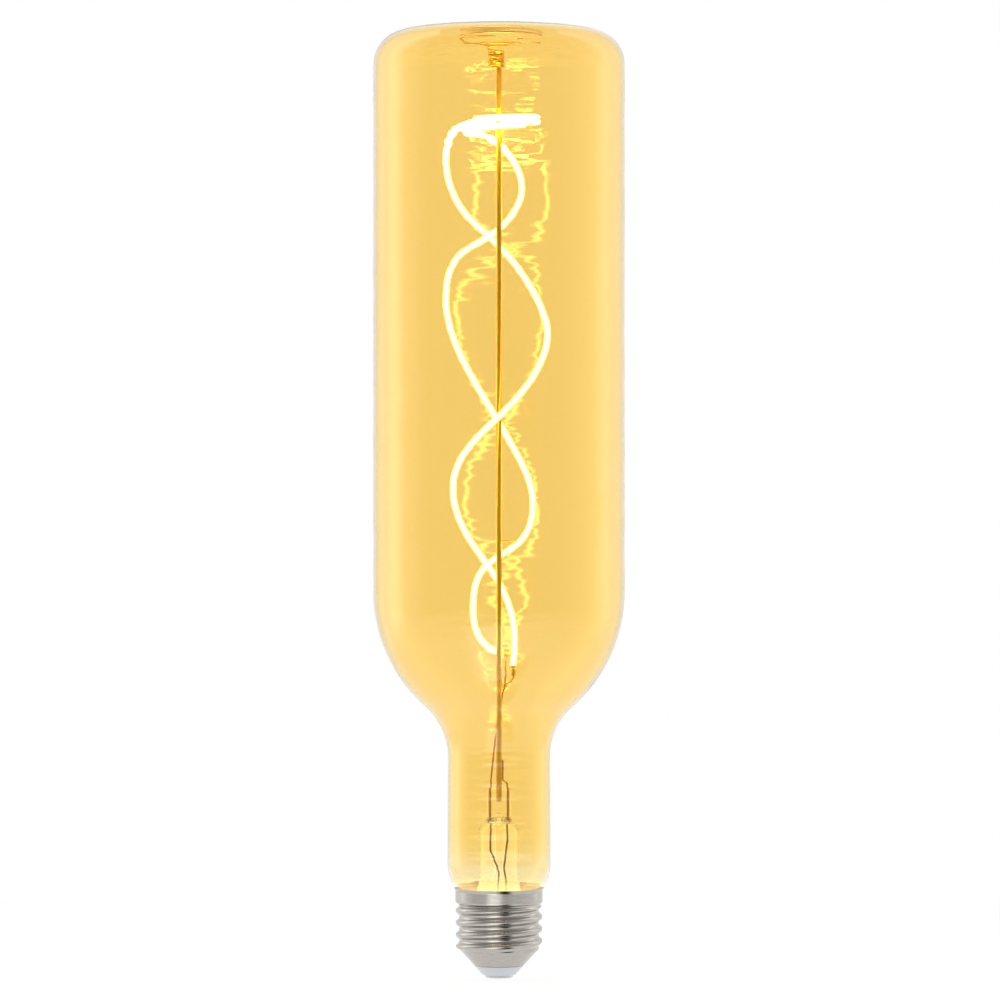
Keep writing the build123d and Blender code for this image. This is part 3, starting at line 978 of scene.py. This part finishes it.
@dataclass
class FilamentMount:
    """Rod, spring, folded filament and the wires that hold it. Sizes in millimetres."""

    rod: float = 1.7
    rod_foot: float = 53.0
    rod_top: float = 278.0
    spring_wire: float = 0.8
    coil_turns: int = 5
    cone_turns: int = 3
    coil: float = 4.2
    coil_axis: float = 0.83
    coil_pitch: float = 0.84
    seat: float = 27.0
    seat_height: float = 284.28
    filament: float = 1.9
    core: float = 0.9
    fold: float = 1.9
    turn: float = 3.2
    hook_wire: float = 0.6
    thin_wire: float = 0.5
    hook_bend: float = 0.72
    link_bend: float = 1.2
    terminal: float = 1.3
    terminal_length: float = 1.8
    fold_tilt: float = 18.0
    turn_tilt: float = 14.0
    cone_flare: float = 1.7
    cone_rise: float = 0.8
    turn_steps: int = 40

    def spring_path(self) -> list[tuple[float, float, float]]:
        """Close coil round the rod's end, then widening turns up to the glass.

        Returns:
            Points of the spring's wire.
        """
        foot = self.rod_top - self.coil_turns * self.coil_pitch
        path = []
        for step in range(self.turn_steps * (self.coil_turns + self.cone_turns) + 1):
            turn = step / self.turn_steps
            opened = max(0.0, (turn - self.coil_turns) / self.cone_turns)
            radius = self.coil / 2 + (self.seat / 2 - self.coil / 2) * opened**self.cone_flare
            height = foot + min(turn, self.coil_turns) * self.coil_pitch
            height += (self.seat_height - self.rod_top) * opened**self.cone_rise
            angle = math.tau * turn
            path.append((radius * math.cos(angle) - self.coil_axis, radius * math.sin(angle), height))
        return path

    def filament_path(self) -> list[np.ndarray]:
        """Feed strand up round the rod, fold, turn to the back, return strand down.

        Returns:
            Points of the filament's centre line.
        """
        along = np.array([1.0, 0.0, 0.0])
        fold_centre = np.array([9.6, -4.5, 257.1])
        turn_centre = np.array([-7.0, 0.8, 254.6])
        fold_tilt, turn_tilt = math.radians(self.fold_tilt), math.radians(self.turn_tilt)
        fold_across = np.array([0.0, math.cos(fold_tilt), -math.sin(fold_tilt)]) * self.fold
        turn_across = np.array([0.0, math.cos(turn_tilt), -math.sin(turn_tilt)]) * self.turn
        fold_start, fold_end = fold_centre - fold_across, fold_centre + fold_across
        turn_start, turn_end = turn_centre - turn_across, turn_centre + turn_across
        path = smooth_run([*FEED_STRAND, fold_start], (0, 0, 1), along)
        path += arc(fold_start, fold_centre + along * self.fold, fold_end)
        path += smooth_run([fold_end, turn_start], -along, -along)
        path += arc(turn_start, turn_centre - along * self.turn, turn_end)
        path += smooth_run([turn_end, *RETURN_STRAND], along, RETURN_END)
        return path

    def build(self, shop: Workshop) -> None:
        """Draw the rod, the spring, the filament and every wire.

        Args:
            shop: Trees to make the pieces with.
        """
        rod = shop.draw("drawn_rod", [(0, 0, self.rod_foot), (0, 0, self.rod_top)], self.rod, WIRE, sides=24)
        fit(rod, "support_rod")
        spring = shop.draw("wound_spring", self.spring_path(), self.spring_wire, WIRE, sides=12)
        fit(spring, "top_spring")
        path = self.filament_path()
        coat = shop.draw("filament_coat", path, self.filament, FILAMENT_COAT)
        fit(coat, "led_filament")
        core = shop.draw("filament_core", path[1:-1], self.core, FILAMENT_CORE, sides=10)
        fit(core, "led_filament")
        for name, start, direction in (
            ("filament_terminal_feed", FEED_STRAND[0], (0, 0, -1)),
            ("filament_terminal_return", RETURN_STRAND[-1], RETURN_END),
        ):
            end = [a + self.terminal_length * b for a, b in zip(start, direction)]
            sleeve = shop.draw(f"{name}_sleeve", [start, end], self.terminal, WIRE, sides=20)
            fit(sleeve, name)
        hook = [(-7.5, -1.17, 258.7), (9.6, -1.17, 258.7), (9.6, -4.5, 258.7), (9.6, -4.5, 255.2)]
        side = [(0.75, 0.27, 131.2), (5.2, 1.9, 131.2)]
        link = [(4.3, 0.8, 91.2), (4.3, 0.8, 89.7), (0.7, 0.13, 88.03)]
        for name, node, corners, diameter, bend in (
            ("bent_hook", "fold_hook", hook, self.hook_wire, self.hook_bend),
            ("straight_side_support", "side_support", side, self.thin_wire, 0.0),
            ("bent_link", "link_wire", link, self.thin_wire, self.link_bend),
        ):
            fit(shop.draw(name, corners, diameter, WIRE, bend=bend), node)


@dataclass
class LeadWires:
    """Sealing wires from the filament through the press to the driver. Sizes in millimetres."""

    diameter: float = 0.5
    bend: float = 1.5

    def build(self, shop: Workshop) -> None:
        """Draw the three leads with their bends, bright in the press and oxidised below it.

        Args:
            shop: Trees to make the pieces with.
        """
        routes = {
            ("return_lead", SEAL): [
                (-2.45, 0, 52.4), (-2.45, 0, 59.4), (-1.12, 2.24, 71.9),
                (2.08, 3.78, 90.95), (2.08, 3.78, 96.95),
            ],
            ("feed_outer_lead", SEAL): [(1.12, 0, 65.4), (1.12, 0, 59.4), (2.45, 0, 58.2), (2.45, 0, 46.6)],
            ("feed_outer_lead", LEAD): [
                (2.45, 0, 46.6), (2.45, 0, 45.5), (2.45, -2.9, 41.96), (1.42, -2.9, 33.05),
                (2.03, -2.9, 29.43), (2.03, -2.9, 22.2), (6.3, 2.75, 17.3), (6.3, 2.75, 13.8),
            ],
            ("return_outer_lead", SEAL): [(-2.45, 0, 52.4), (-2.45, 0, 46.6)],
            ("return_outer_lead", LEAD): [
                (-2.45, 0, 46.6), (-2.45, 0, 45.5), (-2.45, -2.9, 42.44), (-2.45, -2.9, 38.59),
                (0.0, -2.9, 31.84), (-0.61, -2.9, 22.2), (-2.4, 2.75, 17.3), (-2.4, 2.75, 13.8),
            ],
        }
        for (node, finish), route in routes.items():
            part = "sealed" if finish is SEAL else "wire"
            piece = shop.draw(f"{node}_{part}", route, self.diameter, finish, sides=12, bend=self.bend)
            fit(piece, node)


@dataclass
class ScrewCap:
    """Rolled shell, insulator and centre contact. Sizes in millimetres."""

    length: float = 27.0
    lip: float = 27.3
    lip_height: float = 0.9
    collar: float = 26.3
    collar_foot: float = 22.7
    collar_step: float = 0.9
    root: float = 24.1
    depth: float = 1.0
    pitch: float = 3.629
    start_height: float = 6.7855
    start_turn: float = -60 / 360
    skirt_top: float = 8.6
    skirt_foot: float = 15.4
    foot_height: float = 3.8
    opening: float = 13.6
    wall: float = 0.3
    corner_slip: float = 0.4
    thread_below: float = 1.2
    thread_above: float = 0.2
    run_out: float = 2.2
    row: float = 0.14
    steps: int = 180

    def shell_section(self, inset: float) -> list[tuple[float, ...]]:
        """Half section of one side of the shell, from its opening to its lip.

        Args:
            inset: How far inside the outer side it lies.

        Returns:
            Points of radius and height, close enough together to take the thread.
        """
        root = self.root / 2 - inset
        collar = self.collar / 2 - inset
        slip = inset * self.corner_slip
        corners = [
            (self.opening / 2, self.foot_height + inset),
            (self.skirt_foot / 2 - slip, self.foot_height + inset),
            (root, self.skirt_top + slip),
            (root, self.collar_foot - self.collar_step + slip),
            (collar, self.collar_foot + slip),
            (collar, self.length - self.lip_height),
            (self.lip / 2 - inset, self.length),
        ]
        return divided(rounded(corners, {1: 0.5, 2: 1.5, 3: 0.5, 4: 0.5, 5: 0.5}, steps=6), self.row)

    def build(self, shop: Workshop) -> None:
        """Turn the shell and roll its thread, then turn the insulator and the contact.

        Args:
            shop: Trees to make the pieces with.
        """
        section = self.shell_section(0.0) + self.shell_section(self.wall)[::-1]
        section.append(section[0])
        shell = shop.turn("rolled_shell", section, SHELL, self.steps)
        grow(
            shell,
            shop.threading,
            Pitch=self.pitch * MM,
            Depth=self.depth * MM,
            Start_Height=self.start_height * MM,
            Start_Turn=self.start_turn,
            Foot=(self.skirt_top - self.thread_below) * MM,
            Top=(self.collar_foot + self.thread_above) * MM,
            Run_Out=self.run_out * MM,
            Material=SHELL.material(),
        )
        settle(shell)
        fit(shell, "cap_shell")
        insulator = [
            (1.5, 0.8), (5.0, 0.8), (7.7, 3.8), (6.75, 3.8), (6.75, 4.1),
            (7.35, 4.1), (7.35, 5.3), (1.5, 5.3), (1.5, 0.8),
        ]
        contact = [
            (0.0, 0.0), (4.2, 0.0), (4.2, 0.8), (1.5, 0.8), (1.5, 5.3), (2.2, 5.3),
            (2.2, 5.8), (0.35, 5.8), (0.35, 0.8), (0.0, 0.8),
        ]
        piece = shop.turn("moulded_insulator", rounded(insulator, {1: 0.4, 2: 0.25}), INSULATOR, steps=120)
        settle(piece)
        fit(piece, "cap_insulator")
        piece = shop.turn("pressed_contact", rounded(contact, {1: 0.38, 2: 0.2, 6: 0.2}), CONTACT, steps=96)
        settle(piece)
        fit(piece, "centre_contact")


@dataclass
class Driver:
    """Board and its parts inside the cap, kept as the CAD solids."""

    finishes: dict[str, Finish] = field(
        default_factory=lambda: {
            "basing_cement": CEMENT,
            "driver_board": BOARD,
            "bridge_rectifier": PACKAGE,
            "driver_chip": PACKAGE,
            "smoothing_capacitor": SLEEVE,
            "fuse_resistor": RESISTOR,
            "shell_wire": LEAD,
        }
    )

    def build(self) -> None:
        """Give each solid its finish."""
        for node, finish in self.finishes.items():
            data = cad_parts[node].data
            data.materials.clear()
            data.materials.append(finish.material())
            log.info("%s: %s", node, finish.name)


@dataclass
class Studio:
    """Pale floor and world, a round room that the gloss mirrors, two cards, and the camera. Sizes in metres."""

    distance: float = 1.32
    height: float = 0.1435
    shift_right: float = 0.0003
    lens: float = 158.0
    sensor: float = 36.0
    room: float = 0.5
    paper: float = 0.3
    paper_light: float = 0.82
    paper_half: float = 4.0
    near_span: Span = (0.05, 0.3)
    far_span: Span = (0.15, 0.55)
    lift: float = 0.001
    card_core: float = 0.2
    card_full: float = 0.7
    wall_distance: float = 1.6
    wall_height: float = 3.0
    wall_reach: int = 176
    wall_step: int = 4
    wall_peak: float = 3.0
    ceiling_light: float = 0.7
    # Direction in degrees, nought to the front and less to the left, to the wall's light there
    wall_light: dict[int, float] = field(
        default_factory=lambda: {
            -176: 1.0, -150: 0.9, -128: 1.3, -111: 1.9, -90: 0.9, -67: 0.4, -20: 0.4, 15: 0.25,
            45: 0.4, 68: 0.6, 91: 0.8, 115: 1.5, 130: 1.1, 150: 0.9, 176: 1.0,
        }
    )

    def place(self, name: str, points: list, faces: list, paint: Material) -> Object:
        """Add one piece of the stage.

        Args:
            name: Name of the piece.
            points: Its points in metres.
            faces: Its faces.
            paint: Its material.

        Returns:
            The piece.
        """
        mesh = bpy.data.meshes.new(name)
        mesh.from_pydata(points, [], faces)
        mesh.materials.append(paint)
        piece = add_object(name, mesh)
        return piece

    def empty_paint(self, name: str) -> Material:
        """Make a material without nodes.

        Args:
            name: Name of the material.

        Returns:
            The material.
        """
        paint = bpy.data.materials.new(name)
        paint.use_nodes = True
        paint.node_tree.nodes.clear()
        return paint

    def horizon(self, tree: Tree, place: Socket) -> Socket:
        """Light of the studio round the horizon.

        Args:
            tree: Material's node tree.
            place: Point of the stage.

        Returns:
            The shader's socket.
        """
        parts = add_node(tree, "ShaderNodeSeparateXYZ", {0: place})
        angle = calc(tree, "ARCTAN2", parts.outputs[0], calc(tree, "MULTIPLY", parts.outputs[1], -1.0))
        reach = math.radians(self.wall_reach)
        share = ramp(tree, angle, (-reach, reach), shape="LINEAR")
        tones = add_node(tree, "ShaderNodeValToRGB", {0: share})
        tones.color_ramp.interpolation = "EASE"
        stops = tones.color_ramp.elements
        while len(stops) < len(self.wall_light):
            stops.new(0.5)
        for stop, (degrees, light) in zip(stops, sorted(self.wall_light.items())):
            tone = light / self.wall_peak
            stop.position = (degrees + self.wall_reach) / (2 * self.wall_reach)
            stop.color = (tone, tone, tone, 1)
        return shine(tree, self.wall_peak, tones.outputs[0])

    def looked_through(self, tree: Tree) -> Socket:
        """Factor that is one where the eye sees the stage straight through the two walls of the envelope.

        Args:
            tree: Node tree.

        Returns:
            The socket with the factor.
        """
        path = add_node(tree, "ShaderNodeLightPath")
        straight = calc(tree, "LESS_THAN", path.outputs["Glossy Depth"], 0.5)
        thin = calc(tree, "LESS_THAN", path.outputs["Transmission Depth"], WALL_FACES + 0.5)
        plain = calc(tree, "MULTIPLY", straight, thin)
        return calc(tree, "MULTIPLY", path.outputs["Is Transmission Ray"], plain)

    def floor(self) -> None:
        """Lay the floor: white with a soft shadow near the object, the walls' light in the gloss far off."""
        paint = self.empty_paint("Paper sweep, matt")
        tree = paint.node_tree
        place = add_node(tree, "ShaderNodeTexCoord").outputs["Object"]
        away = add_node(tree, "ShaderNodeVectorMath", {0: place}, operation="LENGTH").outputs["Value"]
        paper = add_node(tree, "ShaderNodeBsdfDiffuse", {"Color": (self.paper, self.paper, self.paper, 1)})
        near = add_node(tree, "ShaderNodeAddShader", {0: paper.outputs[0], 1: shine(tree, self.paper_light)})
        white = shine(tree, 1.0)
        glossy = add_node(tree, "ShaderNodeLightPath").outputs["Is Glossy Ray"]
        mirrored = calc(tree, "SUBTRACT", glossy, self.looked_through(tree))
        far = mixed(tree, mirrored, white, self.horizon(tree, place))
        middle = mixed(tree, ramp(tree, away, self.near_span), near.outputs[0], white)
        shown = mixed(tree, ramp(tree, away, self.far_span), middle, far)
        add_node(tree, "ShaderNodeOutputMaterial", {"Surface": shown})
        half = self.paper_half
        corners = [(-half, -half, 0), (half, -half, 0), (half, half, 0), (-half, half, 0)]
        self.place("Floor", corners, [(0, 1, 2, 3)], paint)

    def world(self) -> None:
        """White behind the object and in its gloss, soft grey room for its shade."""
        world = bpy.data.worlds.new("Studio")
        bpy.context.scene.world = world
        world.use_nodes = True
        tree = world.node_tree
        tree.nodes.clear()
        path = add_node(tree, "ShaderNodeLightPath")
        mirrored = calc(tree, "MAXIMUM", path.outputs["Is Glossy Ray"], path.outputs["Is Transmission Ray"])
        seen = calc(tree, "MAXIMUM", path.outputs["Is Camera Ray"], mirrored)
        room, white = (
            add_node(tree, "ShaderNodeBackground", {"Color": WHITE, "Strength": strength}).outputs[0]
            for strength in (self.room, 1.0)
        )
        add_node(tree, "ShaderNodeOutputWorld", {"Surface": mixed(tree, seen, room, white)})

    def show_white(self, tree: Tree, lit: Socket) -> None:
        """End a material that gives its light to the gloss and is plain white when looked through.

        Args:
            tree: Material's node tree.
            lit: Its light.
        """
        shown = mixed(tree, self.looked_through(tree), lit, shine(tree, 1.0))
        add_node(tree, "ShaderNodeOutputMaterial", {"Surface": shown})

    def walls(self) -> None:
        """Stand a round wall about the front and sides: dark in front, lit at both sides."""
        paint = self.empty_paint("Studio wall, lit")
        tree = paint.node_tree
        place = add_node(tree, "ShaderNodeTexCoord").outputs["Object"]
        self.show_white(tree, self.horizon(tree, place))
        turns = [math.radians(a) for a in range(-self.wall_reach, self.wall_reach + 1, self.wall_step)]
        foot = [(math.sin(a) * self.wall_distance, -math.cos(a) * self.wall_distance, self.lift) for a in turns]
        points = foot + [(x, y, self.wall_height) for x, y, _ in foot]
        count = len(turns)
        faces = [(i, i + 1, i + 1 + count, i + count) for i in range(count - 1)]
        self.hide_from_eye(self.place("Studio wall", points, faces, paint))

    def ceiling(self) -> None:
        """Close the room with a dim ceiling."""
        paint = self.empty_paint("Studio ceiling, dim")
        self.show_white(paint.node_tree, shine(paint.node_tree, self.ceiling_light))
        half = self.wall_distance
        corners = [(x * half, y * half, self.wall_height) for x, y in ((-1, -1), (1, -1), (1, 1), (-1, 1))]
        self.hide_from_eye(self.place("Studio ceiling", corners, [(3, 2, 1, 0)], paint))

    def hide_from_eye(self, piece: Object) -> None:
        """Leave a piece of the stage to the object's gloss and shade, without a shadow.

        Args:
            piece: Piece of the stage.
        """
        piece.visible_camera = False
        piece.visible_shadow = False

    def card(self, name: str, light: float, turn: float, half_turn: float, near: float, far: float) -> None:
        """Lay a soft-edged card on the floor in front, for the cap to mirror.

        Args:
            name: Name of the card.
            light: Its light.
            turn: Its direction from the object in degrees, nought to the front and less to the left.
            half_turn: Half its spread in degrees.
            near: Distance of its near edge in metres.
            far: Distance of its far edge in metres.
        """
        paint = self.empty_paint(name)
        tree = paint.node_tree
        place = add_node(tree, "ShaderNodeTexCoord").outputs["Object"]
        parts = add_node(tree, "ShaderNodeSeparateXYZ", {0: place})
        across = calc(tree, "ABSOLUTE", calc(tree, "DIVIDE", parts.outputs[0], parts.outputs[1]))
        away = calc(tree, "MULTIPLY", parts.outputs[1], -1.0)
        spread = math.tan(math.radians(half_turn))
        side_share = ramp(tree, across, (spread, self.card_core * spread))
        end_share = ramp(tree, away, (far, far * self.card_full))
        clear = add_node(tree, "ShaderNodeBsdfTransparent").outputs[0]
        solid = calc(tree, "MULTIPLY", side_share, end_share)
        shown = mixed(tree, solid, clear, shine(tree, light))
        add_node(tree, "ShaderNodeOutputMaterial", {"Surface": shown})
        corners = [(side * y * spread, -y, self.lift) for y in (near, far) for side in (-1, 1)]
        card = self.place(name, corners, [(0, 2, 3, 1)], paint)
        card.rotation_euler = (0, 0, math.radians(turn))
        card.visible_diffuse = False
        card.visible_transmission = False
        self.hide_from_eye(card)

    def camera(self) -> None:
        """Set the camera level at half the object's height."""
        data = bpy.data.cameras.new("Camera")
        data.lens = self.lens
        data.sensor_width = self.sensor
        camera = add_object("Camera", data)
        camera.location = (self.shift_right, -self.distance, self.height)
        camera.rotation_euler = (math.radians(90), 0, 0)
        bpy.context.scene.camera = camera

    def build(self) -> None:
        """Set up the whole stage."""
        bpy.context.scene.view_settings.view_transform = "Standard"
        self.floor()
        self.world()
        self.walls()
        self.ceiling()
        self.card("Bright card", light=2.4, turn=-12.0, half_turn=26.0, near=0.06, far=0.32)
        self.card("Black card", light=0.02, turn=16.0, half_turn=24.0, near=0.016, far=0.14)
        self.camera()


def main() -> None:
    """Build every sub-assembly and the studio, and log each piece's face count."""
    logging.basicConfig(level=logging.INFO, format="%(message)s")
    shop = Workshop()
    GlassEnvelope().build(shop)
    GlassStem().build()
    FilamentMount().build(shop)
    LeadWires().build(shop)
    ScrewCap().build(shop)
    Driver().build()
    Studio().build()


if __name__ == "__main__":
    main()
